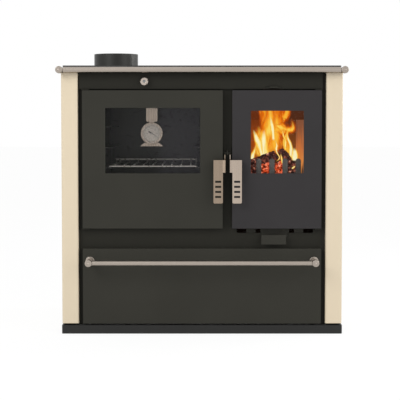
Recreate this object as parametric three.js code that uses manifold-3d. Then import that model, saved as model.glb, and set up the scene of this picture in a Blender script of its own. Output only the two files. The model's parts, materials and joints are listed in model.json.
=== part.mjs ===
// Wood cookstove: an oven door and a firebox door over a wood drawer, a hob with
// a stainless rail round it and a flue collar at the back left.
// Millimetres, +Z up. The front faces -Y and +X is to the viewer's right.
// Depths are written from the front plane of the side strips, growing rearward.
import * as THREE from 'three';
import { mergeVertices } from 'three/addons/utils/BufferGeometryUtils.js';
import Module from 'manifold-3d';

const wasm = await Module();
wasm.setup();

// ---- driving dimensions -------------------------------------------------
const gap = 0.3; // between two pieces that touch
const past = 1; // a cutting tool runs this far past what it cuts
const roundSteps = 40; // facets round the hob's openings and the collar
const pinSteps = 16; // facets round pins, rods and their holes
const sheet = 3; // casing sheet
const bodyWidth = 889.2; // over the side panels
const bodyDepth = 600; // strip front plane to back
const hobTop = 850; // working height
const hobThickness = 8;
const hobInset = 6.6; // hob edge inside the side panels
const hobOverhang = 10; // hob edge in front of the strips
const hobCorner = 6;
const hobRim = 5; // thickness of the hob's downturned rim
const hobRimDrop = 10; // rim below the plate
const plinthHeight = 27.2;
const plinthWall = 24;
const plinthProud = 1.4; // plinth beyond the panels
const plinthCorner = 6;
const stripWidth = 53.1; // side panel wrapped round the front
const stripRadius = 5; // fold of the side panel
const stripDrop = 22.6; // top of the side panels below the hob
const frameSetback = 20; // face frame behind the strips
const doorProud = 4; // doors and drawer front ahead of the strips
const doorThickness = 20;
const doorSkin = 3.5;
const doorBorder = 16; // solid rim of a door round its rear pocket
const doorCorner = 2;
const doorBottom = 336;
const doorHeadroom = 77.5; // doors end this far below the hob
const doorSideGap = 13.5; // between a strip and the door beside it
const ovenDoorRight = 65.5;
const columnGap = 30; // between the two doors
const ovenWindowMargin = { left: 73, right: 71.5, top: 55.5, height: 206 };
const fireWindowMargin = { left: 58.5, right: 57, top: 64.5, height: 197 };
const windowCorner = 2;
const glassThickness = 4;
const glassLap = 12; // glass behind the door skin, on each side
const windowBevel = 4; // the inner frame's opening is this much larger
const mouthInset = 47.5; // opening in the face frame, from its door's edges
const mouthRadius = 8;
const gasketRadius = 5; // rope seal
const gasketSquash = 3.6; // rope standing out of its channel
const gasketOutset = 7; // middle of the rope outside the mouth
const hingeInset = 7; // hinge axis from the door's outer edge
const hingePinRadius = 3;
const pinClearance = 0.35;
const hingePinLength = 12;
const hingePlate = 3;
const hingeGap = 1; // hinge plate from the door's end
const hingeWing = { inward: 14, outward: 9 }; // hinge plate to each side of its axis
const ovenDepth = 440;
const ovenWallInset = 10; // oven wall inside the mouth
const guideReach = 32; // pressed rack ledge from the oven wall
const guideLowest = 463.5;
const guidePitch = 65;
const guideInset = 12; // ledges end short of the mouth and of the oven's back
const guideCount = 4;
const rackLevel = 1; // ledge that carries the rack, counted from 0
const rackRod = 3; // radius of the rack's frame
const rackWire = 2.1; // radius of the wires on it
const rackUpright = 1.9; // radius of their upturned ends
const rackSink = 0.5; // wires pressed into the frame where they are welded
const rackBars = 9;
const rackPitch = 30.1;
const rackSideGap = 25; // rack edge from the oven wall
const rackFrontGap = 18; // rack behind the mouth
const rackDepth = 300;
const rackStopHeight = 14; // raised bar at the back of the rack
const fireboxDepth = 400;
const fireHeadroom = 82; // shell top below the hob plate
const fireWallOutset = 25; // shell wall outside the mouth
const smokeWindow = { length: 100, fromBack: 20, height: 45, belowTop: 15 };
const brickThickness = 30;
const brickHeight = 210;
const brickFrontGap = 20; // side brick behind the mouth
const grateHeight = 470;
const grateThickness = 12;
const grateFrame = 10;
const grateBars = 7;
const grateBarTop = 10; // width of a bar on top
const grateBarFoot = 6; // width of its underside
const grateBarInset = 1; // bars inside the frame's top and bottom
const grateFrontGap = 30;
const grateLedge = { reach: 20, thickness: 6, endGap: 2 };
const guardHeight = 87; // fingers above the grate's seat
const guardBase = 30;
const guardFingers = 4;
const guardPitch = 42;
const guardFingerWidth = 17;
const guardThickness = 5;
const guardFrontGap = 8;
const guardOffset = 7; // fingers from the middle of the firebox
const ashPanHeadroom = 31.5; // under the grate's seat
const ashPanWall = 2;
const ashPanSideGap = 12;
const ashPanFrontGap = 20;
const ashPanBackGap = 30;
const ashPanGrip = { width: 80, height: 18, reach: 14, wall: 3, below: 6 };
const drawerBottom = 33;
const drawerTop = 271.8;
const drawerMouthInset = { side: 12, bottom: 3, top: 12 };
const drawerDepth = 480;
const drawerBoxHeight = 165;
const drawerBoxLift = 16; // box floor above the front's lower edge
const drawerBoxInset = 23; // box side from the drawer front's edge
const drawerWall = 2;
const runnerShelf = 18; // runner under the box
const runnerWall = 30; // runner beside the box
const runnerBackGap = 20; // runner ends ahead of the box's back
const drawerRailRadius = 7.7;
const drawerRailDrop = 39.7; // rail axis under the drawer front's upper edge
const drawerRailStandoff = 58; // rail axis ahead of the drawer front
const postInset = 23; // post axis from the drawer front's edge
const postRadius = 7.5;
const postCapRadius = 11;
const postCapReach = 13; // cap face ahead of the rail axis
const postCapBack = 9; // cap behind the rail axis
const postCapChamfer = 1.5;
const rosetteRadius = 14.5;
const rosetteThickness = 4;
const rosetteChamfer = 1;
const screwSocket = { radius: 3.4, depth: 0.8 };
const hobRailRadius = 9;
const hobRailDrop = 13.8; // rail axis below the hob's top
const hobRailStandoff = 12; // front rail axis ahead of the hob edge
const hobRailBackGap = 12; // side rails end ahead of the hob's back edge
const hobRailFoot = { front: 8, side: 6, length: 20, inset: 40, spread: 280 };
const cornerRadius = 11.5;
const cornerChamfer = 2;
const cornerOutset = 9.5; // corner post axis outside the hob edge
const collarInset = { side: 146.6, back: 160 }; // collar axis from the casing
const collarRadius = 76;
const collarWall = 3;
const collarRise = 57; // collar rim above the hob
const collarFlange = 16;
const collarFlangeThickness = 4;
const cookHoleDepth = 210;
const cookHoleRadius = 110;
const lidRadius = 60;
const cookLedge = 6; // seat under the ring and the lid
const cookSeat = 4; // depth of that seat
const cookRib = { gap: 2, ring: 3, lid: 2 }; // locating ribs below the seats
const lidDish = { radius: 24, wall: 4, depth: 2.5 }; // lifter recess in the lid
const knobInset = 196.3; // knob from the oven door's outer edge
const knobRise = 28.2; // knob above the doors
const knobRadius = 12.7;
const knobLength = 18;
const knobNeck = 8;
const knobNeckLength = 6;
const knobChamfer = 3;
const knobClearance = 2; // knob ahead of the fascia
const rodRadius = 4;
const flapWidth = 100;
const flapHeight = 76;
const flapThickness = 2;
const flapOffset = 31; // middle of the flap from the rod
const flapDepth = 401;
const flapDrop = 8; // flap spindle under the hob plate
const flapLug = { width: 6, gap: 2, half: 8 };
const spindleRadius = 3;
const fasciaSetback = 8;
const fasciaSideGap = 3;
const fasciaGap = 4.5; // between the doors and the fascia
const airSlotInset = { left: 15.5, right: 25 };
const airSlotDrop = 15.5; // slot's lower edge under the door
const airSlotHeight = 12.5;
const airNotch = { left: 49.75, right: 38.25, drop: 12.5 };
const airTab = { offset: -9.5, width: 78.5, drop: 51, height: 30, corner: 2 };
const airStem = { width: 28, thickness: 2, below: 2 };
const airPlate = 2;
const airPlateLap = 6; // air slide over the edges of its slot
const airPort = { inset: 30, width: 15 }; // air holes from the slide's ends
const airTravel = 24;
const topAirTab = { offset: -11.25, width: 25, rise: 8, height: 4, setback: 2 };
const topAirTravel = 12;
const topAirPlate = { height: 12, reach: 22 };
const topAirPort = { height: 14, reach: 20 };
const caseRadius = 34.8;
const caseRim = 3.5;
const caseFillet = { back: 2, front: 1 };
const bezelSink = 2.4; // flat ring behind the case's rim
const dialRadius = 25; // printed face inside that ring
const dialDrop = 80; // dial axis under the oven window's top
const dialOffset = -3.5; // from the middle of the oven window
const dialFront = 4.6; // front rim of the thermometer
const caseDepth = 8.4;
const caseWall = 1.6;
const dialThickness = 1.2;
const lensThickness = 1.2;
const pointerThickness = 0.9;
const pointerPin = 1.5; // radius of the pin that the pointer turns on
const pointerPinProud = 1; // pin ahead of the pointer
const pointerHub = { radius: 3.2, half: 2.2, neck: 3, neckHalf: 1 };
const pointerTail = { reach: 12.5, half: 2.2 };
const pointerTipHalf = 0.5;
const pointerTipGap = 6; // tip inside the printed face
const bracketSheet = 1.5;
const bracketTab = { half: 18, bottom: 36.8, notch: 3 };
const bracketNeck = 8;
const bracketFoot = { top: 30, half: 23, bottom: 41, spread: 37 };
const latchHeight = 545; // axis of both handles
const latchProud = 10; // that axis ahead of the doors
const latchPinRadius = 3;
const latchBlock = { below: 12, above: 8, nose: 7, noseBelow: 4, noseAbove: 3, sideGap: 4 };
const handle = {
  width: 29.5, above: 8.5, below: 127.7, sheet: 2.5, setout: 34, corner: 4,
};
const handleFold = { width: 8, depth: 5.5, below: 31 }; // slanting fold beside the column
const handleCheek = { toe: 5, knee: 14, heel: 4, chamfer: 3, throat: 12, neck: 2 };
const handleEar = { below: 11, half: 6, behind: 5 };
const handleSlots = { count: 4, width: 19, height: 6.5, pitch: 15.9, below: 107.1 };
const hookRise = 24.7; // hook's tip above the axis
const hookDepth = 22; // hook's back edge behind the axis
const hookWidth = 7;
const keeperWidth = 5;
const keeperPinRadius = 3;
const keeperPinLength = 20;
const keeperPinDepth = 2;
const keeperPost = { ahead: 5, below: 6, above: 8 };
const keeperGap = 2; // between the hooks' tips and the keeper's pin
const keeperFoot = { width: 26, above: 22, below: 16, thickness: 2 };
const ventRows = { count: 5, lowest: 120, pitch: 24, width: 240, height: 8 };

// ---- values worked out from them ----------------------------------------
const frontReach = doorProud + drawerRailStandoff + postCapReach;
const middleDepth = (bodyDepth - frontReach) / 2;
const stripHeight = hobTop - stripDrop;
const doorTop = hobTop - doorHeadroom;
const panelSide = bodyWidth / 2;
const panelInside = panelSide - sheet - gap;
const stripInner = panelSide - stripWidth;
const hobSide = panelSide - hobInset;
const hobUnder = hobTop - hobThickness;
const frameFront = frameSetback;
const frameBack = frameFront + sheet;
const liningFront = frameBack + gap;
const doorFront = -doorProud;
const doorBack = doorFront + doorThickness;
const glassFront = doorFront + doorSkin + gap;
const glassBack = glassFront + glassThickness;
const innerFront = glassBack + gap;
const doorOuterEdge = stripInner - doorSideGap;
const hingeDepth = doorFront + doorThickness / 2;
const hingeX = doorOuterEdge - hingeInset;
const fireDoorLeft = ovenDoorRight + columnGap;
const fireMiddle = (fireDoorLeft + doorOuterEdge) / 2;
const latchX = ovenDoorRight + columnGap / 2;
const latchDepth = doorFront - latchProud;
const deckBottom = plinthHeight + gap;
const deckTop = deckBottom + sheet;
const casingTop = hobUnder - gap;
const collarX = collarInset.side - panelSide;
const collarDepth = bodyDepth - collarInset.back;
const knobX = knobInset - doorOuterEdge;
const knobHeight = doorTop + knobRise;
const ovenDoorArea = {
  left: -doorOuterEdge, right: ovenDoorRight, bottom: doorBottom, top: doorTop,
};
const fireDoorArea = {
  left: fireDoorLeft, right: doorOuterEdge, bottom: doorBottom, top: doorTop,
};
const drawerArea = {
  left: -doorOuterEdge, right: doorOuterEdge, bottom: drawerBottom, top: drawerTop,
};
const ovenWindow = windowIn(ovenDoorArea, ovenWindowMargin);
const fireWindow = windowIn(fireDoorArea, fireWindowMargin);
const ovenMouth = grown(ovenDoorArea, -mouthInset);
const fireMouth = grown(fireDoorArea, -mouthInset);

function windowIn(door, margin) {
  const top = door.top - margin.top;
  return {
    left: door.left + margin.left, right: door.right - margin.right,
    bottom: top - margin.height, top,
  };
}

function grown(area, by) {
  return {
    left: area.left - by, right: area.right + by,
    bottom: area.bottom - by, top: area.top + by,
  };
}

// ---- geometry helpers ----------------------------------------------------
function solid(geometry) {
  geometry.deleteAttribute('normal');
  geometry.deleteAttribute('uv');
  const merged = mergeVertices(geometry, 1e-4);
  const position = merged.attributes.position.array;
  const index = merged.index.array;
  const triangles = [];
  let volume = 0;
  const a = new THREE.Vector3();
  const b = new THREE.Vector3();
  const c = new THREE.Vector3();
  for (let i = 0; i < index.length; i += 3) {
    const [p, q, r] = [index[i], index[i + 1], index[i + 2]];
    if (p === q || q === r || r === p) continue;
    triangles.push(p, q, r);
    a.fromArray(position, 3 * p);
    b.fromArray(position, 3 * q);
    c.fromArray(position, 3 * r);
    volume += a.dot(b.cross(c));
  }
  if (volume < 0) triangles.reverse();
  return new wasm.Manifold(new wasm.Mesh({
    numProp: 3,
    vertProperties: new Float32Array(position),
    triVerts: new Uint32Array(triangles),
  }));
}

function join(...pieces) {
  return pieces.reduce((whole, piece) => whole.add(piece));
}

function cut(body, ...tools) {
  return tools.reduce((whole, tool) => whole.subtract(tool), body);
}

function box(x, depth, z) {
  const geometry = new THREE.BoxGeometry(x[1] - x[0], depth[1] - depth[0], z[1] - z[0]);
  geometry.translate((x[0] + x[1]) / 2, (depth[0] + depth[1]) / 2, (z[0] + z[1]) / 2);
  return solid(geometry);
}

// A round bar along x, y (depth) or z; at holds the two other coordinates.
function rod(axis, radius, span, at, segments = 24) {
  const length = span[1] - span[0];
  const middle = (span[0] + span[1]) / 2;
  const geometry = new THREE.CylinderGeometry(radius, radius, length, segments);
  if (axis === 'x') geometry.rotateZ(Math.PI / 2).translate(middle, at[0], at[1]);
  if (axis === 'y') geometry.translate(at[0], middle, at[1]);
  if (axis === 'z') geometry.rotateX(Math.PI / 2).translate(at[0], at[1], middle);
  return solid(geometry);
}

// A profile of [radius, along] points turned about x, y (depth) or z.
function turned(axis, profile, at, segments = 32) {
  const points = profile.map(([radius, along]) => new THREE.Vector2(radius, along));
  const geometry = new THREE.LatheGeometry(points, segments);
  if (axis === 'x') geometry.rotateZ(-Math.PI / 2);
  if (axis === 'z') geometry.rotateX(Math.PI / 2);
  geometry.translate(...at);
  return solid(geometry);
}

function roundedShape(x, y, radius) {
  const shape = new THREE.Shape();
  shape.moveTo(x[0] + radius, y[0]);
  shape.lineTo(x[1] - radius, y[0]);
  shape.absarc(x[1] - radius, y[0] + radius, radius, -Math.PI / 2, 0);
  shape.lineTo(x[1], y[1] - radius);
  shape.absarc(x[1] - radius, y[1] - radius, radius, 0, Math.PI / 2);
  shape.lineTo(x[0] + radius, y[1]);
  shape.absarc(x[0] + radius, y[1] - radius, radius, Math.PI / 2, Math.PI);
  shape.lineTo(x[0], y[0] + radius);
  shape.absarc(x[0] + radius, y[0] + radius, radius, Math.PI, 1.5 * Math.PI);
  return shape;
}

function polygon(points) {
  return new THREE.Shape(points.map(([u, v]) => new THREE.Vector2(u, v)));
}

// A flat shape pushed along x, y (depth) or z. It is drawn in the two others.
function prism(axis, shape, span, curveSegments = 3) {
  const depth = span[1] - span[0];
  const geometry = new THREE.ExtrudeGeometry(shape, { depth, bevelEnabled: false, curveSegments });
  if (axis === 'y') geometry.rotateX(Math.PI / 2).translate(0, span[1], 0);
  if (axis === 'z') geometry.translate(0, 0, span[0]);
  if (axis === 'x') {
    const turn = new THREE.Matrix4().makeBasis(
      new THREE.Vector3(0, 1, 0), new THREE.Vector3(0, 0, 1), new THREE.Vector3(1, 0, 0),
    );
    geometry.applyMatrix4(turn).translate(span[0], 0, 0);
  }
  return solid(geometry);
}

function mirrorX(piece) {
  return piece.mirror([1, 0, 0]);
}

function panelShape(area, radius) {
  return roundedShape([area.left, area.right], [area.bottom, area.top], radius);
}

// Two ends along x in rising order, whichever side of the stove they are on.
function ordered(p, q) {
  return [Math.min(p, q), Math.max(p, q)];
}

// A round cord laid along the outline of a flat panel, closed on itself.
function cordLoop(outline, radius, depth, sides = 8) {
  const path = outline.getPoints(2).filter(
    (point, i, all) => point.distanceTo(all[(i + 1) % all.length]) > gap,
  );
  const rings = path.map((point, i) => {
    const before = path[(i + path.length - 1) % path.length];
    const after = path[(i + 1) % path.length];
    const into = point.clone().sub(before).normalize();
    const out = after.clone().sub(point).normalize();
    const normal = new THREE.Vector2(into.y + out.y, -into.x - out.x).normalize();
    const reach = radius / (normal.x * into.y - normal.y * into.x);
    return Array.from({ length: sides }, (_, k) => {
      const turn = (2 * Math.PI * (k + 0.5)) / sides;
      const across = reach * Math.cos(turn);
      return [point.x + across * normal.x, depth + radius * Math.sin(turn),
        point.y + across * normal.y];
    });
  });
  const index = [];
  for (let i = 0; i < rings.length; i += 1) {
    for (let k = 0; k < sides; k += 1) {
      const a = i * sides + k;
      const b = i * sides + ((k + 1) % sides);
      const next = ((i + 1) % rings.length) * sides;
      const [c, d] = [next + (k + 1) % sides, next + k];
      index.push(a, b, c, a, c, d);
    }
  }
  const geometry = new THREE.BufferGeometry();
  geometry.setAttribute('position', new THREE.Float32BufferAttribute(rings.flat(2), 3));
  geometry.setIndex(index);
  return solid(geometry);
}

// ---- materials -----------------------------------------------------------
function paint(color, roughness, metalness = 0) {
  return () => new THREE.MeshStandardMaterial({ color, roughness, metalness });
}
const castBlack = paint(0x3c3b36, 0.6, 0.2);
const frameBlack = paint(0x2a2924, 0.7, 0.2);
const enamel = paint(0xe2d2b8, 0.3);
const stainless = paint(0xb0a59a, 0.28, 1);
const chrome = paint(0xd0d0d0, 0.12, 1);
const glazing = paint(0x22231e, 0.08);
const firebrick = paint(0x8c6f57, 0.95);
const rope = paint(0x2e2d2b, 0.95);
const dialWhite = paint(0xe6e4de, 0.5);
const needleRed = paint(0x6b2a22, 0.5);
const galvanised = paint(0x7c7d7c, 0.5, 0.8);

function piece(name, manifold, material) {
  const { vertProperties, triVerts } = manifold.getMesh();
  const geometry = new THREE.BufferGeometry();
  geometry.setAttribute('position', new THREE.BufferAttribute(vertProperties, 3));
  geometry.setIndex(new THREE.BufferAttribute(triVerts, 1));
  geometry.computeVertexNormals();
  const mesh = new THREE.Mesh(geometry, material());
  mesh.name = name;
  return mesh;
}

const stove = new THREE.Group();
stove.position.y = -middleDepth;

// ---- casing ----------------------------------------------------------------
function sidePanel() {
  const outer = -panelSide;
  const inner = -stripInner;
  const back = bodyDepth - sheet - gap;
  const radius = stripRadius;
  const small = radius - sheet;
  const shape = new THREE.Shape();
  shape.moveTo(outer, back);
  shape.lineTo(outer, radius);
  shape.absarc(outer + radius, radius, radius, Math.PI, 1.5 * Math.PI);
  shape.lineTo(inner - radius, 0);
  shape.absarc(inner - radius, radius, radius, -Math.PI / 2, 0);
  shape.lineTo(inner, frameFront - gap);
  shape.lineTo(inner - sheet, frameFront - gap);
  shape.lineTo(inner - sheet, radius);
  shape.absarc(inner - radius, radius, small, 0, -Math.PI / 2, true);
  shape.lineTo(outer + radius, sheet);
  shape.absarc(outer + radius, radius, small, 1.5 * Math.PI, Math.PI, true);
  shape.lineTo(outer + sheet, back);
  return prism('z', shape, [drawerBottom, stripHeight], 6);
}

function plinth() {
  const side = panelSide + plinthProud;
  const outline = roundedShape([-side, side], [-plinthProud, bodyDepth], plinthCorner);
  const inner = roundedShape(
    [plinthWall - side, side - plinthWall],
    [plinthWall - plinthProud, bodyDepth - plinthWall], plinthCorner / 2,
  );
  return cut(
    prism('z', outline, [0, plinthHeight]),
    prism('z', inner, [-past, plinthHeight + past]),
  );
}

const drawerMouth = {
  left: drawerArea.left + drawerMouthInset.side,
  right: drawerArea.right - drawerMouthInset.side,
  bottom: drawerBottom + drawerMouthInset.bottom,
  top: drawerTop - drawerMouthInset.top,
};
const airSlot = {
  left: fireDoorLeft + airSlotInset.left,
  right: doorOuterEdge - airSlotInset.right,
  bottom: doorBottom - airSlotDrop,
  top: doorBottom - airSlotDrop + airSlotHeight,
};
const airTabMiddle = fireMiddle + airTab.offset;
const topAirMiddle = fireMiddle + topAirTab.offset;
const topAirBottom = doorTop + topAirTab.rise;
const topAirPortMiddle = topAirBottom + topAirTab.height / 2;

function around(middle, half) {
  return [middle - half, middle + half];
}

// The frame and the rear panel fill the casing and, above the side panels, stand
// inside the hob's downturned rim.
function casingOutline() {
  const neck = hobSide - hobRim - gap;
  return polygon([
    [-panelInside, deckTop + gap], [panelInside, deckTop + gap],
    [panelInside, stripHeight], [neck, stripHeight], [neck, casingTop],
    [-neck, casingTop], [-neck, stripHeight], [-panelInside, stripHeight],
  ]);
}

function frontFrame() {
  const through = [frameFront - past, frameBack + past];
  const { left, right, drop } = airNotch;
  return cut(
    prism('y', casingOutline(), [frameFront, frameBack]),
    prism('y', panelShape(ovenMouth, mouthRadius), through),
    prism('y', panelShape(fireMouth, mouthRadius), through),
    prism('y', panelShape(drawerMouth, mouthRadius), through),
    box([airSlot.left, airSlot.right], through, [airSlot.bottom, airSlot.top]),
    box([fireMiddle - left, fireMiddle + right], through,
      [airSlot.bottom - drop, airSlot.bottom + past]),
    box(around(topAirMiddle, topAirTab.width / 2 + topAirPort.reach), through,
      around(topAirPortMiddle, topAirPort.height / 2)),
    rod('y', rodRadius + pinClearance, through, [knobX, knobHeight], pinSteps),
  );
}

function fascia() {
  const front = fasciaSetback;
  const through = [front - past, front + sheet + past];
  const x = [fasciaSideGap - stripInner, doorOuterEdge + fasciaSideGap];
  const face = box(x, [front, front + sheet], [doorTop + fasciaGap, stripHeight]);
  const lip = box(x, [front, frameFront - gap], [stripHeight - sheet, stripHeight]);
  return cut(
    join(face, lip),
    box(around(topAirMiddle, topAirTab.width / 2 + topAirTravel + past), through,
      [topAirBottom - past, topAirBottom + topAirTab.height + past]),
    rod('y', rodRadius + pinClearance, through, [knobX, knobHeight], pinSteps),
  );
}

function rearPanel() {
  const panel = prism('y', casingOutline(), [bodyDepth - sheet, bodyDepth]);
  const vents = [];
  for (let row = 0; row < ventRows.count; row += 1) {
    const z = ventRows.lowest + ventRows.pitch * row;
    vents.push(box(around(0, ventRows.width / 2),
      [bodyDepth - sheet - past, bodyDepth + past], [z, z + ventRows.height]));
  }
  return cut(panel, ...vents);
}

const flapX = knobX + flapOffset;
const flapHeightAxis = hobUnder - flapDrop;
const lugMiddle = flapWidth / 2 + flapLug.gap + flapLug.width / 2;
const spindleEnd = lugMiddle + flapLug.width / 2 + flapLug.gap;

// The plate, its downturned rim and the two lugs that carry the bypass flap.
function hobPlate() {
  const outline = roundedShape([-hobSide, hobSide], [-hobOverhang, bodyDepth], hobCorner);
  const inside = roundedShape([hobRim - hobSide, hobSide - hobRim],
    [hobRim - hobOverhang, bodyDepth + hobRim], hobCorner / 2);
  const rimBottom = hobUnder - hobRimDrop;
  const rim = cut(
    prism('z', outline, [rimBottom, hobUnder + past]),
    prism('z', inside, [rimBottom - past, hobUnder]),
  );
  const through = [hobUnder - past, hobTop + past];
  const lugs = [-1, 1].map((end) => box(
    around(flapX + end * lugMiddle, flapLug.width / 2),
    around(flapDepth, flapLug.half),
    [flapHeightAxis - flapLug.half, hobUnder + past],
  ));
  const cookHole = [fireMiddle, cookHoleDepth];
  return cut(
    join(prism('z', outline, [hobUnder, hobTop]), rim, ...lugs),
    rod('z', collarRadius - collarWall, through, [collarX, collarDepth], roundSteps),
    rod('z', cookHoleRadius - cookLedge, through, cookHole, roundSteps),
    rod('z', cookHoleRadius, [hobTop - cookSeat, hobTop + past], cookHole, roundSteps),
    rod('x', spindleRadius + pinClearance, around(flapX, spindleEnd),
      [flapDepth, flapHeightAxis], pinSteps),
  );
}

function hobRing() {
  const outer = cookHoleRadius - gap;
  const inner = lidRadius - cookLedge;
  const rib = cookHoleRadius - cookLedge - cookRib.gap;
  const low = hobTop - cookSeat + gap;
  const profile = [
    [inner, low - cookRib.ring], [rib, low - cookRib.ring], [rib, low], [outer, low],
    [outer, hobTop], [lidRadius, hobTop], [lidRadius, low], [inner, low],
    [inner, low - cookRib.ring],
  ];
  return turned('z', profile, [fireMiddle, cookHoleDepth, 0], roundSteps);
}

function hobLid() {
  const outer = lidRadius - gap;
  const rib = lidRadius - cookLedge - cookRib.gap;
  const low = hobTop - cookSeat + 2 * gap;
  const { radius, wall, depth } = lidDish;
  const profile = [
    [0, low - cookRib.lid], [rib, low - cookRib.lid], [rib, low], [outer, low], [outer, hobTop],
    [radius, hobTop], [radius - wall, hobTop - depth], [0, hobTop - depth],
  ];
  return turned('z', profile, [fireMiddle, cookHoleDepth, 0], roundSteps);
}

function flueCollar() {
  const inner = collarRadius - collarWall;
  const low = hobTop + gap;
  const flange = collarRadius + collarFlange;
  const rim = hobTop + collarRise;
  const profile = [
    [inner, low], [flange, low], [flange, low + collarFlangeThickness],
    [collarRadius, low + collarFlangeThickness], [collarRadius, rim], [inner, rim],
    [inner, low],
  ];
  return turned('z', profile, [collarX, collarDepth, 0], roundSteps);
}

const hobRailHeight = hobTop - hobRailDrop;
const hobRailDepth = -hobOverhang - hobRailStandoff;
const cornerX = hobSide + cornerOutset;

function railCorner(side) {
  const front = hobRailDepth - cornerRadius;
  const back = -hobOverhang - gap;
  const { radius, depth } = screwSocket;
  return turned('y', [
    [0, front + depth], [radius, front + depth], [radius, front],
    [cornerRadius - cornerChamfer, front], [cornerRadius, front + cornerChamfer],
    [cornerRadius, back], [0, back],
  ], [side * cornerX, 0, hobRailHeight], 24);
}

function hobRailFront() {
  const end = cornerX - cornerRadius - gap;
  const feet = [-1, 1].map((side) => rod('y', hobRailFoot.front / 2,
    [hobRailDepth, -hobOverhang - gap], [side * hobRailFoot.spread, hobRailHeight], pinSteps));
  return join(
    rod('x', hobRailRadius, [-end, end], [hobRailDepth, hobRailHeight]), ...feet,
  );
}

function hobRailSide(side) {
  const { inset, length } = hobRailFoot;
  const bar = rod('y', hobRailRadius, [-hobOverhang, bodyDepth - hobRailBackGap],
    [side * cornerX, hobRailHeight]);
  const feet = [inset, bodyDepth - inset - length].map((at) => box(
    ordered(side * (hobSide + gap), side * cornerX), [at, at + length],
    around(hobRailHeight, hobRailFoot.side / 2),
  ));
  return join(bar, ...feet);
}

stove.add(
  piece('plinth', plinth(), frameBlack),
  piece('side_panel_left', sidePanel(), enamel),
  piece('side_panel_right', mirrorX(sidePanel()), enamel),
  piece('front_frame', frontFrame(), frameBlack),
  piece('fascia', fascia(), frameBlack),
  piece('rear_panel', rearPanel(), galvanised),
  piece('drawer_bay_floor', box([-panelInside, panelInside],
    [frameFront, bodyDepth], [deckBottom, deckTop]), frameBlack),
  piece('hob_plate', hobPlate(), castBlack),
  piece('hob_ring', hobRing(), castBlack),
  piece('hob_lid', hobLid(), castBlack),
  piece('flue_collar', flueCollar(), castBlack),
  piece('hob_rail_front', hobRailFront(), stainless),
  piece('hob_rail_left', hobRailSide(-1), stainless),
  piece('hob_rail_right', hobRailSide(1), stainless),
  piece('rail_corner_left', railCorner(-1), stainless),
  piece('rail_corner_right', railCorner(1), stainless),
);

// ---- oven ------------------------------------------------------------------
const ovenLining = {
  left: ovenMouth.left + ovenWallInset, right: ovenMouth.right - ovenWallInset,
  bottom: ovenMouth.bottom, top: ovenMouth.top,
};

function ovenLiner() {
  const { left, right, bottom, top } = ovenLining;
  const back = liningFront + ovenDepth;
  const shell = cut(
    box([left - sheet, right + sheet], [liningFront, back + sheet],
      [bottom - sheet, top + sheet]),
    box([left, right], [liningFront - past, back], [bottom, top]),
  );
  const depth = [liningFront + guideInset, back - guideInset];
  const ledges = [];
  for (let level = 0; level < guideCount; level += 1) {
    const z = guideLowest + level * guidePitch;
    ledges.push(box([left - past, left + guideReach], depth, [z - sheet, z]));
    ledges.push(box([right - guideReach, right + past], depth, [z - sheet, z]));
  }
  return join(shell, ...ledges);
}

// A frame of rod with wires welded on top. Behind, the frame and the wires turn up
// to a bar that stops the dishes.
function ovenRack() {
  const side = (ovenLining.right - ovenLining.left) / 2 - rackSideGap;
  const middle = (ovenLining.right + ovenLining.left) / 2;
  const front = liningFront + rackFrontGap;
  const back = front + rackDepth;
  const z = guideLowest + rackLevel * guidePitch + gap + rackRod;
  const wireZ = z + rackRod + rackWire - rackSink;
  const wireBack = back - rackRod;
  const stopZ = z + rackStopHeight;
  const bar = (depth, height) => rod('x', rackRod, around(middle, side), [depth, height], 6);
  const pieces = [bar(front, z), bar(back, stopZ)];
  [-1, 1].forEach((end) => {
    const x = middle + end * (side - rackRod);
    pieces.push(rod('y', rackRod, [front, back], [x, z], 6));
    pieces.push(rod('z', rackRod, [z, stopZ], [x, back], 6));
  });
  for (let i = 0; i < rackBars; i += 1) {
    const x = middle + (i - (rackBars - 1) / 2) * rackPitch;
    pieces.push(rod('y', rackWire, [front - rackRod, wireBack + rackUpright], [x, wireZ], 5));
    pieces.push(rod('z', rackUpright, [wireZ, stopZ + rackRod], [x, wireBack], 5));
  }
  return join(...pieces);
}

// ---- fire side -------------------------------------------------------------
const fireShell = {
  left: fireMouth.left - fireWallOutset, right: fireMouth.right + fireWallOutset,
  bottom: fireMouth.bottom, top: hobUnder - fireHeadroom,
};
const fireBack = liningFront + fireboxDepth;
const brickBack = fireBack - gap;
const sideBrickBack = brickBack - brickThickness - gap;
const seatBottom = grateHeight + gap; // grate, bricks and guard stand at this height

function fireboxShell() {
  const { left, right, bottom, top } = fireShell;
  const windowTop = top - smokeWindow.belowTop;
  const windowBack = fireBack - smokeWindow.fromBack;
  const shell = cut(
    box([left - sheet, right + sheet], [liningFront, fireBack + sheet],
      [bottom - sheet, top + sheet]),
    box([left, right], [liningFront - past, fireBack], [bottom, top]),
    rod('z', cookHoleRadius - cookLedge, [top - past, top + sheet + past],
      [fireMiddle, cookHoleDepth], roundSteps),
    box([left - sheet - past, left + past], [windowBack - smokeWindow.length, windowBack],
      [windowTop - smokeWindow.height, windowTop]),
  );
  const { reach, thickness, endGap } = grateLedge;
  const ledge = (x) => box(x, [liningFront + endGap, fireBack - endGap],
    [grateHeight - thickness, grateHeight]);
  return join(shell, ledge([left - past, left + reach]), ledge([right - reach, right + past]));
}

function fireBrick(side) {
  const wall = (side < 0 ? fireShell.left : fireShell.right) - side * gap;
  return box(ordered(wall, wall - side * brickThickness),
    [liningFront + brickFrontGap, sideBrickBack], [seatBottom, seatBottom + brickHeight]);
}

function backBrick() {
  return box([fireShell.left + gap, fireShell.right - gap],
    [brickBack - brickThickness, brickBack], [seatBottom, seatBottom + brickHeight]);
}

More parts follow.
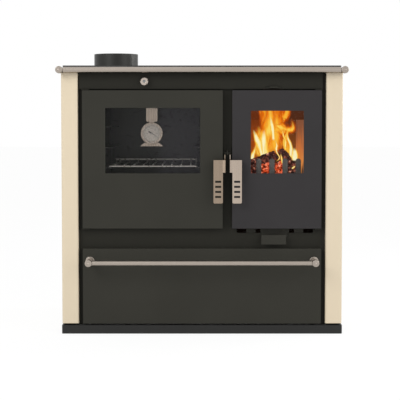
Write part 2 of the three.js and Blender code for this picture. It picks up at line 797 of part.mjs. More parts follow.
// Bars with sides that taper downwards, so that ash falls through between them.
function grate() {
  const left = fireShell.left + brickThickness + 2 * gap;
  const right = fireShell.right - brickThickness - 2 * gap;
  const front = liningFront + grateFrontGap;
  const top = grateHeight + grateThickness;
  const inside = [front + grateFrame, sideBrickBack - grateFrame];
  const frame = cut(
    box([left, right], [front, sideBrickBack], [seatBottom, top]),
    box([left + grateFrame, right - grateFrame], inside, [grateHeight, top + past]),
  );
  const [half, foot] = [grateBarTop / 2, grateBarFoot / 2];
  const pitch = (right - left - 2 * grateFrame) / (grateBars + 1);
  const [low, high] = [seatBottom + grateBarInset, top - grateBarInset];
  const bars = [];
  for (let i = 1; i <= grateBars; i += 1) {
    const x = left + grateFrame + i * pitch;
    const section = polygon([[x - foot, low], [x + foot, low], [x + half, high], [x - half, high]]);
    bars.push(prism('y', section, [inside[0] - past, inside[1] + past]));
  }
  return join(frame, ...bars);
}

function logGuard() {
  const middle = (fireShell.left + fireShell.right) / 2 + guardOffset;
  const depth = [liningFront + guardFrontGap, liningFront + guardFrontGap + guardThickness];
  const half = guardFingerWidth / 2;
  const base = box([fireShell.left + gap, fireShell.right - gap], depth,
    [seatBottom, seatBottom + guardBase]);
  const shoulder = grateHeight + guardHeight - half;
  const fingers = [];
  for (let i = 0; i < guardFingers; i += 1) {
    const x = middle + (i - (guardFingers - 1) / 2) * guardPitch;
    const shape = new THREE.Shape();
    shape.moveTo(x - half, seatBottom + guardBase - past);
    shape.lineTo(x + half, seatBottom + guardBase - past);
    shape.lineTo(x + half, shoulder);
    shape.absarc(x, shoulder, half, 0, Math.PI);
    fingers.push(prism('y', shape, depth, 8));
  }
  return join(base, ...fingers);
}

function ashPan() {
  const left = fireShell.left + ashPanSideGap;
  const right = fireShell.right - ashPanSideGap;
  const front = liningFront + ashPanFrontGap;
  const back = fireBack - ashPanBackGap;
  const bottom = fireShell.bottom + gap;
  const top = grateHeight - ashPanHeadroom;
  const pan = cut(
    box([left, right], [front, back], [bottom, top]),
    box([left + ashPanWall, right - ashPanWall], [front + ashPanWall, back - ashPanWall],
      [bottom + ashPanWall, top + past]),
  );
  const { width, height, reach, wall, below } = ashPanGrip;
  const middle = (left + right) / 2;
  const grip = cut(
    box(around(middle, width / 2), [front - reach, front + past],
      [top - below - height, top - below]),
    box(around(middle, width / 2 - 2 * wall), [front - reach + wall, front - gap],
      [top - below - height - past, top - below + past]),
  );
  return join(pan, grip);
}

const latchHookTop = latchHeight + hookRise;

// The hooks' tips stop under the keeper's pin.
function latchKeeper() {
  const pinZ = latchHookTop + keeperGap + keeperPinRadius;
  const back = frameFront - gap;
  const { width, above, below, thickness } = keeperFoot;
  const foot = box(around(latchX, width / 2), [back - thickness, back],
    [pinZ - below, pinZ + above]);
  const post = box(around(latchX, keeperWidth / 2),
    [keeperPinDepth - keeperPost.ahead, back - thickness / 2],
    [pinZ - keeperPost.below, pinZ + keeperPost.above]);
  const pin = rod('x', keeperPinRadius, around(latchX, keeperPinLength / 2),
    [keeperPinDepth, pinZ], pinSteps);
  return join(foot, post, pin);
}

// ---- doors -----------------------------------------------------------------
function doorHinge(side, upper) {
  const axisX = side * hingeX;
  const low = upper ? doorTop + hingeGap : doorBottom - hingeGap - hingePlate;
  const x = ordered(axisX - side * hingeWing.inward, axisX + side * hingeWing.outward);
  const plate = box(x, [hingeDepth - 2 * hingePinRadius, frameFront - gap],
    [low, low + hingePlate]);
  const pin = upper
    ? [doorTop + hingeGap - hingePinLength, low + past]
    : [low + hingePlate - past, doorBottom - hingeGap + hingePinLength];
  return join(plate, rod('z', hingePinRadius, pin, [axisX, hingeDepth], pinSteps));
}

function doorPanel(area, window, side) {
  const skin = doorFront + doorSkin;
  const pocket = panelShape(grown(area, -doorBorder), doorCorner);
  const hole = (z) => rod('z', hingePinRadius + pinClearance, z,
    [side * hingeX, hingeDepth], pinSteps);
  return cut(
    prism('y', panelShape(area, doorCorner), [doorFront, doorBack]),
    prism('y', pocket, [skin, doorBack + past]),
    prism('y', panelShape(window, windowCorner), [doorFront - past, skin + past]),
    hole([area.top - hingePinLength, area.top + past]),
    hole([area.bottom - past, area.bottom + hingePinLength]),
  );
}

const gasketDepth = doorBack + gasketSquash - gasketRadius; // middle of the rope
const gasketCorner = mouthRadius + gasketOutset;
const channelRadius = gasketRadius + gap;

// The plate behind the glass, with the channel that the rope seal lies in.
function doorInner(area, window, mouth) {
  const outline = panelShape(grown(area, -doorBorder - gap), doorCorner);
  const middle = grown(mouth, gasketOutset);
  const channel = [gasketDepth - channelRadius, doorBack];
  return cut(
    prism('y', outline, [innerFront, doorBack - gap]),
    prism('y', panelShape(grown(window, windowBevel), windowCorner), [innerFront - past, doorBack]),
    cut(
      prism('y', panelShape(grown(middle, channelRadius), gasketCorner + channelRadius), channel),
      prism('y', panelShape(grown(middle, -channelRadius), gasketCorner - channelRadius),
        [channel[0] - past, channel[1] + past]),
    ),
  );
}

function doorGlass(window) {
  return prism('y', panelShape(grown(window, glassLap), windowCorner), [glassFront, glassBack]);
}

function doorGasket(mouth) {
  return cordLoop(panelShape(grown(mouth, gasketOutset), gasketCorner), gasketRadius, gasketDepth);
}

// The block on the door that carries a handle's pin. The handles stand at the
// doors' inner edges, and side points from the door towards the other one.
function latchBracket(edge, side) {
  const rear = doorFront - gap;
  const { below, above, nose, noseBelow, noseAbove, sideGap } = latchBlock;
  const block = prism('x', polygon([
    [rear, latchHeight - below], [rear, latchHeight + above], [latchDepth, latchHeight + nose],
    [latchDepth - nose, latchHeight + noseAbove], [latchDepth - nose, latchHeight - noseBelow],
    [latchDepth, latchHeight - above],
  ]), ordered(edge - side * sideGap, edge - side * (handle.width - sideGap)));
  const pin = ordered(edge - side * (handle.width + past), edge + side * (handleFold.width + 2));
  return join(block, rod('x', latchPinRadius, pin, [latchDepth, latchHeight], pinSteps));
}

// One folded sheet: a slotted grip plate, an ear on its outer edge, and on the
// edge beside the column a slanting fold that runs into a cheek with the hook.
function latchHandle(edge, side) {
  const plate = handle.sheet;
  const face = doorFront + doorProud - handle.setout;
  const inner = side * edge;
  const outer = inner - handle.width;
  const cheekOuter = inner + handleFold.width;
  const [low, high] = [latchHeight - handle.below, latchHeight + handle.above];
  const foldLow = latchHeight - handleFold.below;
  const grip = new THREE.Shape();
  const { corner } = handle;
  grip.moveTo(outer, high);
  grip.lineTo(outer, low + corner);
  grip.absarc(outer + corner, low + corner, corner, Math.PI, 1.5 * Math.PI);
  grip.lineTo(inner - corner, low);
  grip.absarc(inner - corner, low + corner, corner, 1.5 * Math.PI, 2 * Math.PI);
  grip.lineTo(inner, high);
  const slots = [];
  const slotHalf = handleSlots.width / 2;
  for (let i = 0; i < handleSlots.count; i += 1) {
    const z = latchHeight - handleSlots.below + i * handleSlots.pitch;
    slots.push(prism('y', roundedShape(around((inner + outer) / 2, slotHalf),
      around(z, handleSlots.height / 2), 1), [face - past, face + plate + past], 1));
  }
  const foldBack = face + handleFold.depth;
  const fold = prism('z', polygon([
    [inner - past, face], [inner, face], [cheekOuter, foldBack], [cheekOuter, foldBack + plate],
    [cheekOuter - plate, foldBack + plate], [inner - past, face + plate],
  ]), [foldLow, high]);
  const hookBack = latchDepth + hookDepth;
  const hookTop = latchHookTop;
  const { toe, knee, heel, chamfer, throat, neck } = handleCheek;
  const cheek = prism('x', polygon([
    [foldBack, foldLow], [foldBack + toe, foldLow], [latchDepth + knee, latchHeight - knee],
    [hookBack, latchHeight - heel], [hookBack, hookTop - chamfer], [hookBack - chamfer, hookTop],
    [hookBack - hookWidth, hookTop], [hookBack - hookWidth, latchHeight + throat],
    [latchDepth + neck, high], [foldBack, high],
  ]), [cheekOuter - plate, cheekOuter]);
  const ear = prism('x', polygon([
    [face, latchHeight - handleEar.below], [latchDepth + handleEar.behind, latchHeight - handleEar.half],
    [latchDepth + handleEar.behind, latchHeight + handleEar.half], [face, high],
  ]), [outer, outer + plate]);
  const hole = rod('x', latchPinRadius + pinClearance, [outer - past, cheekOuter + past],
    [latchDepth, latchHeight], pinSteps);
  const drawn = cut(join(prism('y', grip, [face, face + plate], 4), fold, cheek, ear),
    ...slots, hole);
  return side > 0 ? drawn : mirrorX(drawn);
}

stove.add(
  piece('oven_liner', ovenLiner(), galvanised),
  piece('oven_rack', ovenRack(), chrome),
  piece('firebox_shell', fireboxShell(), frameBlack),
  piece('firebrick_left', fireBrick(-1), firebrick),
  piece('firebrick_right', fireBrick(1), firebrick),
  piece('firebrick_back', backBrick(), firebrick),
  piece('grate', grate(), castBlack),
  piece('log_guard', logGuard(), castBlack),
  piece('ash_pan', ashPan(), galvanised),
  piece('latch_keeper', latchKeeper(), frameBlack),
  piece('hinge_oven_upper', doorHinge(-1, true), frameBlack),
  piece('hinge_oven_lower', doorHinge(-1, false), frameBlack),
  piece('hinge_firebox_upper', doorHinge(1, true), frameBlack),
  piece('hinge_firebox_lower', doorHinge(1, false), frameBlack),
);

// A door hangs on its outer edge. Its handle is on the inner one.
function door(name, area, window, mouth, hingeSide) {
  const edge = hingeSide > 0 ? area.left : area.right;
  return [
    piece(`${name}_door_panel`, doorPanel(area, window, hingeSide), castBlack),
    piece(`${name}_door_inner`, doorInner(area, window, mouth), castBlack),
    piece(`${name}_door_glass`, doorGlass(window), glazing),
    piece(`${name}_door_gasket`, doorGasket(mouth), rope),
    piece(`${name}_latch_bracket`, latchBracket(edge, -hingeSide), frameBlack),
    piece(`${name}_handle`, latchHandle(edge, -hingeSide), stainless),
  ];
}

stove.add(
  ...door('oven', ovenDoorArea, ovenWindow, ovenMouth, -1),
  ...door('firebox', fireDoorArea, fireWindow, fireMouth, 1),
);

// ---- thermometer on the oven door --------------------------------------------
const dialX = (ovenWindow.left + ovenWindow.right) / 2 + dialOffset;
const dialZ = ovenWindow.top - dialDrop;
const caseBack = dialFront + caseDepth;
const dialBack = caseBack - caseWall - gap;
const pointerBack = dialBack - dialThickness - gap;
const pointerTip = dialRadius - pointerTipGap;

// A flat strip: a tab that hangs from the inner frame, a neck behind the case
// and a foot that flares out under it.
function thermometerBracket() {
  const top = ovenWindow.top + windowBevel - gap;
  const { half, bottom, notch } = bracketTab;
  const foot = bracketFoot;
  const shape = new THREE.Shape();
  shape.moveTo(-half, top - dialZ);
  shape.lineTo(-half, bottom + notch);
  shape.lineTo(notch - half, bottom);
  shape.lineTo(-bracketNeck, bottom);
  shape.lineTo(-bracketNeck, -foot.top);
  shape.lineTo(-foot.half, -foot.top);
  shape.lineTo(-foot.spread, -foot.bottom);
  shape.lineTo(foot.spread, -foot.bottom);
  shape.lineTo(foot.half, -foot.top);
  shape.lineTo(bracketNeck, -foot.top);
  shape.lineTo(bracketNeck, bottom);
  shape.lineTo(half - notch, bottom);
  shape.lineTo(half, bottom + notch);
  shape.lineTo(half, top - dialZ);
  return prism('y', shape, [caseBack + gap, caseBack + gap + bracketSheet])
    .translate([dialX, 0, dialZ]);
}

function thermometerCase() {
  const well = dialRadius + gap;
  const rim = caseRadius - caseRim;
  const bezel = dialFront + bezelSink;
  return turned('y', [
    [0, caseBack], [caseRadius - caseFillet.back, caseBack],
    [caseRadius, caseBack - caseFillet.back], [caseRadius, dialFront + caseFillet.front],
    [caseRadius - caseFillet.front, dialFront], [rim, dialFront], [rim, bezel],
    [well, bezel], [well, caseBack - caseWall], [0, caseBack - caseWall],
  ], [dialX, 0, dialZ], 28);
}

function thermometerDial() {
  const face = dialBack - dialThickness;
  const pinEnd = pointerBack - pointerThickness - pointerPinProud;
  return turned('y', [
    [0, dialBack], [dialRadius, dialBack], [dialRadius, face], [pointerPin, face],
    [pointerPin, pinEnd], [0, pinEnd],
  ], [dialX, 0, dialZ], 28);
}

// Drawn about its own axis, with the broad end to the left and the tip to the right.
function thermometerPointer() {
  const span = [pointerBack - pointerThickness, pointerBack];
  const { radius, half, neck, neckHalf } = pointerHub;
  const tail = pointerTail;
  const blade = polygon([
    [tail.half - tail.reach, -tail.half], [-tail.reach, 0], [tail.half - tail.reach, tail.half],
    [0, half], [neck, neckHalf], [pointerTip, pointerTipHalf], [pointerTip, -pointerTipHalf],
    [neck, -neckHalf], [0, -half],
  ]);
  return cut(
    join(prism('y', blade, span), rod('y', radius, span, [0, 0], pinSteps)),
    rod('y', pointerPin + pinClearance, [span[0] - past, span[1] + past], [0, 0], pinSteps),
  );
}

function thermometerLens() {
  return rod('y', caseRadius - caseRim - gap,
    [dialFront + gap, dialFront + gap + lensThickness], [dialX, dialZ], 28);
}

const pointer = piece('thermometer_pointer', thermometerPointer(), needleRed);
pointer.position.set(dialX, 0, dialZ);
pointer.rotation.y = Math.PI / 6;
stove.add(
  piece('thermometer_bracket', thermometerBracket(), stainless),
  piece('thermometer_case', thermometerCase(), stainless),
  piece('thermometer_dial', thermometerDial(), dialWhite),
  pointer,
  piece('thermometer_lens', thermometerLens(), glazing),
);

// ---- dampers ------------------------------------------------------------------
const knobBack = fasciaSetback - knobClearance;

function damperKnob() {
  const bore = rodRadius + pinClearance;
  const front = knobBack - knobLength;
  return turned('y', [
    [bore, knobBack], [knobNeck, knobBack], [knobNeck, knobBack - knobNeckLength],
    [knobRadius, knobBack - knobNeckLength - knobChamfer], [knobRadius, front + knobChamfer],
    [knobRadius - knobChamfer, front], [bore, front], [bore, knobBack],
  ], [knobX, 0, knobHeight], 24);
}

// The rod runs back over the oven and ends just short of the hanging flap.
function damperRod() {
  return rod('y', rodRadius, [knobBack - knobLength + 1, flapDepth - flapThickness / 2 - 1],
    [knobX, knobHeight], pinSteps);
}

function damperFlap() {
  const plate = box(around(flapX, flapWidth / 2), around(flapDepth, flapThickness / 2),
    [flapHeightAxis - flapHeight, flapHeightAxis]);
  return join(plate, rod('x', spindleRadius, around(flapX, spindleEnd - flapLug.gap + past),
    [flapDepth, flapHeightAxis], pinSteps));
}

// The primary slide lies behind the frame. Its stem reaches through the notch
// and carries the folded tab.
function primaryAirSlide() {
  const front = frameBack + gap;
  const tabBottom = doorBottom - airTab.drop;
  const tabTop = tabBottom + airTab.height;
  const x = [airSlot.left + airTravel + airPlateLap, airSlot.right - airTravel - airPlateLap];
  const plate = box(x, [front, front + airPlate],
    [airSlot.bottom - airNotch.drop - airPlateLap, airSlot.top + airPlateLap]);
  const stemTop = tabTop - airStem.below;
  const stem = box(around(airTabMiddle, airStem.width / 2), [0, front + past],
    [stemTop - airStem.thickness, stemTop]);
  const tab = prism('y', roundedShape(around(airTabMiddle, airTab.width / 2),
    [tabBottom, tabTop], airTab.corner), [-airPlate, past / 2]);
  const { inset, width } = airPort;
  const port = (left) => box([left, left + width], [frameBack, front + airPlate + past],
    [airSlot.bottom, airSlot.top]);
  return cut(join(plate, stem, tab), port(x[0] + inset), port(x[1] - inset - width));
}

function secondaryAirSlide() {
  const back = fasciaSetback + sheet + gap;
  const half = topAirTab.width / 2;
  const plate = box(around(topAirMiddle, half + topAirPlate.reach), [back, back + airPlate],
    around(topAirPortMiddle, topAirPlate.height / 2));
  const tab = box(around(topAirMiddle, half), [doorFront + topAirTab.setback, back + past],
    [topAirBottom, topAirBottom + topAirTab.height]);
  return join(plate, tab);
}

// ---- wood drawer ---------------------------------------------------------------
const drawerSide = doorOuterEdge - drawerBoxInset;
const boxFloor = drawerBottom + drawerBoxLift;
const railDepth = doorFront - drawerRailStandoff;
const railHeight = drawerTop - drawerRailDrop;
const postX = doorOuterEdge - postInset;

function drawerFront() {
  return cut(
    prism('y', panelShape(drawerArea, doorCorner), [doorFront, doorBack]),
    prism('y', panelShape(grown(drawerArea, -doorBorder), doorCorner),
      [doorFront + doorSkin, doorBack + past]),
  );
}

function drawerBox() {
  const front = doorBack + gap;
  const inside = drawerSide - drawerWall;
  return cut(
    box([-drawerSide, drawerSide], [front, front + drawerDepth],
      [boxFloor, boxFloor + drawerBoxHeight]),
    box([-inside, inside], [front + drawerWall, front + drawerDepth - drawerWall],
      [boxFloor + drawerWall, boxFloor + drawerBoxHeight + past]),
  );
}

function drawerPost(side) {
  const face = doorFront - gap;
  const capFront = railDepth - postCapReach;
  const rosette = face - rosetteThickness;
  const { radius, depth } = screwSocket;
  return turned('y', [
    [0, capFront + depth], [radius, capFront + depth], [radius, capFront],
    [postCapRadius - postCapChamfer, capFront], [postCapRadius, capFront + postCapChamfer],
    [postCapRadius, railDepth + postCapBack],
    [postRadius, railDepth + postCapBack + postCapChamfer],
    [postRadius, rosette], [rosetteRadius - rosetteChamfer, rosette],
    [rosetteRadius, rosette + rosetteChamfer],
    [rosetteRadius, face], [0, face],
  ], [side * postX, 0, railHeight], 22);
}

function drawerRail() {
  const end = postX - postCapRadius - gap;
  return rod('x', drawerRailRadius, [-end, end], [railDepth, railHeight], 28);
}

// An angle on the bay floor, with a shelf that the box runs on.
function drawerRunner(side) {
  const shelf = boxFloor - gap;
  const depth = [liningFront, doorBack + drawerDepth - runnerBackGap];
  const wall = drawerSide + gap;
  return join(
    box(ordered(side * wall, side * (wall + sheet)), depth, [deckTop + gap, boxFloor + runnerWall]),
    box(ordered(side * (drawerSide - runnerShelf), side * (wall + sheet)), depth,
      [shelf - sheet, shelf]),
  );
}

stove.add(
  piece('damper_knob', damperKnob(), chrome),
  piece('damper_rod', damperRod(), galvanised),
  piece('damper_flap', damperFlap(), galvanised),
  piece('primary_air_slide', primaryAirSlide(), castBlack),
  piece('secondary_air_slide', secondaryAirSlide(), castBlack),
  piece('drawer_front', drawerFront(), castBlack),
  piece('drawer_box', drawerBox(), frameBlack),
  piece('drawer_rail', drawerRail(), stainless),
  piece('drawer_post_left', drawerPost(-1), stainless),
  piece('drawer_post_right', drawerPost(1), stainless),
  piece('drawer_runner_left', drawerRunner(-1), galvanised),
  piece('drawer_runner_right', drawerRunner(1), galvanised),
);

export default stove;
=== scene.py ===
"""Looks of a wood cookstove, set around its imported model. Metres, +Z up, front faces -Y."""
import json
import math
import random

import bmesh
import bpy
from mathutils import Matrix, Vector


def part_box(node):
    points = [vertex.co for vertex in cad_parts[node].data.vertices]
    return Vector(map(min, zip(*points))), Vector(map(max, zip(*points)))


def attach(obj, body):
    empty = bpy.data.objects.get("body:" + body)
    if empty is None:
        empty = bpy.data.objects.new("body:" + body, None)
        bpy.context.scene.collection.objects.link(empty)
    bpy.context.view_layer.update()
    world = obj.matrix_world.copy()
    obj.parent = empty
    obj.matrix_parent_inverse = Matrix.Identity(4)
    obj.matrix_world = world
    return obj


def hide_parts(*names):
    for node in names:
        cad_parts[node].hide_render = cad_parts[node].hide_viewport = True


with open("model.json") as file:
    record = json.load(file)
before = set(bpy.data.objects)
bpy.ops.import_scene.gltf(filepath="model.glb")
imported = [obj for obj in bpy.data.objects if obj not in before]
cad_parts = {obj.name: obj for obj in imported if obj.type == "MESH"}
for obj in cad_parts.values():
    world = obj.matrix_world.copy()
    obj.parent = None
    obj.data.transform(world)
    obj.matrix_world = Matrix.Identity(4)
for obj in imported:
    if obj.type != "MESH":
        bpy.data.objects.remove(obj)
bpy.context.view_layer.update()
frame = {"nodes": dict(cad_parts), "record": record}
scene = bpy.context.scene
MM = 0.001

# ---- camera: the photograph's viewpoint, in metres and in the photo's pixels ------
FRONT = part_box("side_panel_left")[0].y  # plane of the strips beside the doors
FOCAL_PIXELS = 1307
IMAGE_PIXELS = 400
SENSOR_WIDTH = 36  # millimetres
CAMERA_DISTANCE = 4.130
CAMERA_HEIGHT = 0.676
CAMERA_SIDE = -0.0063
CAMERA_DIP = math.radians(3.459)
CAMERA_REACH = 60


def make_camera():
    data = bpy.data.cameras.new("camera")
    data.sensor_width = SENSOR_WIDTH
    data.lens = SENSOR_WIDTH * FOCAL_PIXELS / IMAGE_PIXELS
    data.clip_end = CAMERA_REACH
    camera = bpy.data.objects.new("camera", data)
    camera.location = (CAMERA_SIDE, FRONT - CAMERA_DISTANCE, CAMERA_HEIGHT)
    camera.rotation_euler = (math.pi / 2 - CAMERA_DIP, 0, 0)
    scene.collection.objects.link(camera)
    scene.camera = camera


make_camera()

# ---- materials ---------------------------------------------------------------
NOISE_LOW = 0.3  # nearly all of a noise texture lies from here
NOISE_HIGH = 0.7  # to here
LOOK = {}  # every material of this script by its name


def fill(node, **values):
    """Plain values for a node's sockets, named with underscores for their spaces."""
    for key, value in values.items():
        node.inputs[key.replace("_", " ")].default_value = value


class Nodes:
    """A new material's node tree, with short calls to add nodes to it."""

    def __init__(self, name):
        self.material = bpy.data.materials.new(name)
        self.material.use_nodes = True
        self.tree = self.material.node_tree
        self.shader = self.tree.nodes["Principled BSDF"]
        self.coordinates = self.add("ShaderNodeTexCoord").outputs["Object"]
        LOOK[name] = self.material

    def add(self, kind, **values):
        node = self.tree.nodes.new(kind)
        for key, value in values.items():
            setattr(node, key, value)
        return node

    def link(self, source, target):
        self.tree.links.new(source, target)

    def set(self, **values):
        """Plain values for the shader."""
        fill(self.shader, **values)

    def feed(self, **sources):
        """Sockets that the shader takes its values from."""
        for key, source in sources.items():
            self.link(source, self.shader.inputs[key.replace("_", " ")])

    def stretched(self, scale):
        mapping = self.add("ShaderNodeMapping")
        fill(mapping, Scale=scale)
        self.link(self.coordinates, mapping.inputs["Vector"])
        return mapping.outputs["Vector"]

    def noise(self, scale, detail=3, stretch=None, roughness=0.5):
        node = self.add("ShaderNodeTexNoise")
        fill(node, Scale=scale, Detail=detail, Roughness=roughness)
        source = self.stretched(stretch) if stretch else self.coordinates
        self.link(source, node.inputs["Vector"])
        return node.outputs["Fac"]

    def ramp(self, source, stops):
        """Colours at their places on the source's way from 0 to 1."""
        node = self.add("ShaderNodeValToRGB")
        elements = node.color_ramp.elements
        while len(elements) < len(stops):
            elements.new(0.5)
        for element, (position, colour) in zip(elements, stops):
            element.position = position
            element.color = (*colour, 1)
        self.link(source, node.inputs["Fac"])
        return node.outputs["Color"]

    def tones(self, noise, dark, light):
        return self.ramp(noise, [(NOISE_LOW, dark), (NOISE_HIGH, light)])

    def mapped(self, source, start, end, low=0, high=1):
        """Low where the source is at start, high where it is at end, and limited to that."""
        node = self.add("ShaderNodeMapRange")
        fill(node, From_Min=start, From_Max=end, To_Min=low, To_Max=high)
        self.link(source, node.inputs["Value"])
        return node.outputs["Result"]

    def spread(self, noise, low, high):
        return self.mapped(noise, NOISE_LOW, NOISE_HIGH, low, high)

    def compute(self, operation, *values):
        """The result of one arithmetic step on sockets and plain numbers."""
        node = self.add("ShaderNodeMath", operation=operation)
        for socket, value in zip(node.inputs, values):
            if isinstance(value, (int, float)):
                socket.default_value = value
            else:
                self.link(value, socket)
        return node.outputs[0]

    def mix(self, factor, source, colour, blend="MIX"):
        """The source's colour, blended with a plain one by the factor."""
        node = self.add("ShaderNodeMix", data_type="RGBA", blend_type=blend)
        self.link(factor, node.inputs["Factor"])
        self.link(source, node.inputs["A"])
        node.inputs["B"].default_value = (*colour, 1)
        return node.outputs["Result"]

    def axes(self, vector):
        """The x, y and z of a vector."""
        node = self.add("ShaderNodeSeparateXYZ")
        self.link(vector, node.inputs["Vector"])
        return node.outputs["X"], node.outputs["Y"], node.outputs["Z"]

    def bump(self, source, strength, distance):
        node = self.add("ShaderNodeBump")
        fill(node, Strength=strength, Distance=distance)
        self.link(source, node.inputs["Height"])
        self.feed(Normal=node.outputs["Normal"])


def linear(red, green, blue):
    """Screen colour 0-255 to the linear values that a shader takes, by sRGB's formula."""
    def channel(value):
        value /= 255
        return value / 12.92 if value <= 0.04045 else ((value + 0.055) / 1.055) ** 2.4
    return tuple(channel(value) for value in (red, green, blue))


def shade(colour, factor):
    return tuple(min(1, value * factor) for value in colour)


def surface(name, colour, rough, variation=0.1, grain=900, relief=0.05, patch=6,
            rough_spread=0.05, stretch=None, distance=0.0004, **values):
    """A coloured finish with soft patches of tone, grain in its roughness and a fine
    relief. Patch and grain are the scales of their noise, distance is the relief's depth
    in metres, and the values are plain ones for the shader."""
    nodes = Nodes(name)
    patches = nodes.noise(patch, 4, stretch)
    fine = nodes.noise(grain, 2, stretch)
    nodes.feed(Base_Color=nodes.tones(patches, shade(colour, 1 - variation),
                                      shade(colour, 1 + variation)),
               Roughness=nodes.spread(fine, rough - rough_spread, rough + rough_spread))
    nodes.bump(fine, relief, distance)
    nodes.set(**values)


def stove_paint(name, colour, rough=0.5):
    surface(name, colour, rough, 0.06, grain=1400, relief=0.09, Specular_IOR_Level=0.14)


LINES_ACROSS = 60  # how finely polishing lines lie side by side
LINES_ALONG = 1.5  # and how often they change on their way


def brushed(name, colour, axis):
    """Satin stainless, with its polishing lines along one axis."""
    stretch = [LINES_ACROSS] * 3
    stretch[axis] = LINES_ALONG
    surface(name, colour, 0.27, 0.07, grain=14, relief=0.04, patch=1, rough_spread=0.07,
            stretch=stretch, distance=0.0002, Metallic=1.0, Anisotropic=0.35)


def pane(name, tint, alpha, painted_reflection=None):
    """Clear glass. A painted reflection, when given, is a paler colour painted into the glass's
    own colour, with the x where it begins and the x where it is full."""
    nodes = Nodes(name)
    tone = nodes.tones(nodes.noise(3), shade(tint, 0.85), shade(tint, 1.15))
    # painted reflection: a paler colour mixed into the glass's tone from one x to another
    if painted_reflection:
        reflection_colour, begins, full = painted_reflection
        x, _, _ = nodes.axes(nodes.coordinates)
        tone = nodes.mix(nodes.mapped(x, begins * MM, full * MM), tone, reflection_colour)
    nodes.feed(Base_Color=tone, Roughness=nodes.spread(nodes.noise(40), 0.03, 0.07))
    nodes.set(Alpha=alpha)


def speckled_enamel(name, ground, speck):
    """Dark enamel with pale specks where a fine noise is high."""
    nodes = Nodes(name)
    nodes.feed(Base_Color=nodes.ramp(nodes.noise(700, 1), [(0.62, ground), (0.72, speck)]),
               Roughness=nodes.spread(nodes.noise(60), 0.25, 0.35))


def rope_weave(name, dark, light):
    nodes = Nodes(name)
    wave = nodes.add("ShaderNodeTexWave", wave_type="BANDS", bands_direction="DIAGONAL")
    fill(wave, Scale=160, Distortion=1.5)
    nodes.link(nodes.coordinates, wave.inputs["Vector"])
    nodes.feed(Base_Color=nodes.ramp(wave.outputs["Fac"], [(0.2, dark), (0.8, light)]))
    nodes.set(Roughness=0.95)
    nodes.bump(wave.outputs["Fac"], 0.7, 0.001)


PALEST_EMBER = 0.1  # how far over the full glow's level a crack is palest


def ember_material(name, dark, glow, low, high, scale):
    """Charred wood or coal with light in its cracks. They begin where a noise is over low
    and have their full glow where it is at high."""
    nodes = Nodes(name)
    cracks = nodes.noise(scale, 6, roughness=0.7)
    nodes.feed(Base_Color=nodes.tones(nodes.noise(120, 5), shade(dark, 0.4), shade(dark, 1.6)),
               Emission_Color=nodes.ramp(cracks, [(low, BLACK), (high, glow),
                                                  (high + PALEST_EMBER, PALE_EMBER)]))
    nodes.set(Emission_Strength=1.0, Roughness=0.9)
    nodes.bump(cracks, 0.8, 0.004)


FLAME_FOOT = 0.1  # share of a flame's length over which its foot fades in
FLAME_TIP = 0.72  # where its tip begins to fade out
FLAME_LICK = 0.3  # how far noise moves its edges in and out
FLAME_DRIFT = 0.2  # how far noise moves its colours
FLAME_COOLING = 0.42  # how much less hot its tip is than its foot


def flame_material(name, stops, soft, opacity):
    """Light that fades to a strip's edges and ends, with noise drawn out along the flame.
    The stops are its colours from the coolest to the hottest."""
    nodes = Nodes(name)
    flow = nodes.add("ShaderNodeAttribute", attribute_name="flow")
    sideways, along, _ = nodes.axes(flow.outputs["Vector"])
    edge = nodes.compute("SUBTRACT", 1, nodes.compute("ABSOLUTE", sideways))
    lick = nodes.spread(nodes.noise(60, stretch=(1, 1, 0.28)), -FLAME_LICK, FLAME_LICK)
    inside = nodes.compute("ADD", edge, lick)
    body = nodes.mapped(inside, 0.0, soft)
    tip = nodes.mapped(along, 1.0, FLAME_TIP)
    foot = nodes.mapped(along, 0.0, FLAME_FOOT)
    alpha = nodes.compute("MULTIPLY", nodes.compute("MULTIPLY", body, tip),
                          nodes.compute("MULTIPLY", foot, opacity))
    cooler = nodes.compute("MULTIPLY", along, FLAME_COOLING)
    drift = nodes.spread(nodes.noise(26, stretch=(1, 1, 0.5)), -FLAME_DRIFT, FLAME_DRIFT)
    heat = nodes.compute("ADD", nodes.compute("SUBTRACT", inside, cooler), drift)
    nodes.feed(Alpha=alpha, Emission_Color=nodes.ramp(heat, stops))
    nodes.set(Base_Color=(0.02, 0.01, 0.0, 1), Emission_Strength=1.0, Roughness=1.0,
              Specular_IOR_Level=0.0)


TINT_BEGINS = 262  # x in millimetres where the fire's light turns to the right tint
TINT_FULL = 290


def lit_by_fire(name, stops, low, high, right_tint=(1, 1, 1)):
    """A sooted surface with the fire's light on it. The stops are the light's colours
    from height low to height high, and the tint is for the right, where there are fewer
    flames."""
    nodes = Nodes(name)
    x, _, z = nodes.axes(nodes.coordinates)
    height = nodes.mapped(z, low * MM, high * MM)
    patchy = nodes.compute("ADD", height, nodes.spread(nodes.noise(14, 5), -0.12, 0.12))
    right = nodes.mapped(x, TINT_BEGINS * MM, TINT_FULL * MM)
    nodes.feed(Base_Color=nodes.tones(nodes.noise(9, 6), SOOT_DARK, SOOT_LIGHT),
               Emission_Color=nodes.mix(right, nodes.ramp(patchy, stops), right_tint,
                                        "MULTIPLY"))
    nodes.set(Roughness=0.95, Emission_Strength=1.0)
    nodes.bump(nodes.noise(260, 4), 0.5, 0.002)


# ---- the finishes --------------------------------------------------------------
BLACK = (0, 0, 0)
CREAM = linear(228, 212, 184)
STEEL = linear(181, 166, 152)
STEEL_SHADED = linear(169, 159, 149)
STEEL_DULL = linear(155, 138, 121)
# A painted reflection on the oven glass: a paler, bluer colour painted into its right part.
PAINTED_REFLECTION = linear(61, 59, 64)
REFLECTION_BEGINS = -146  # x in millimetres, behind the thermometer's right side
REFLECTION_FULL = -122  # at its right edge
SOOT_DARK = linear(46, 28, 22)
SOOT_LIGHT = linear(96, 62, 44)

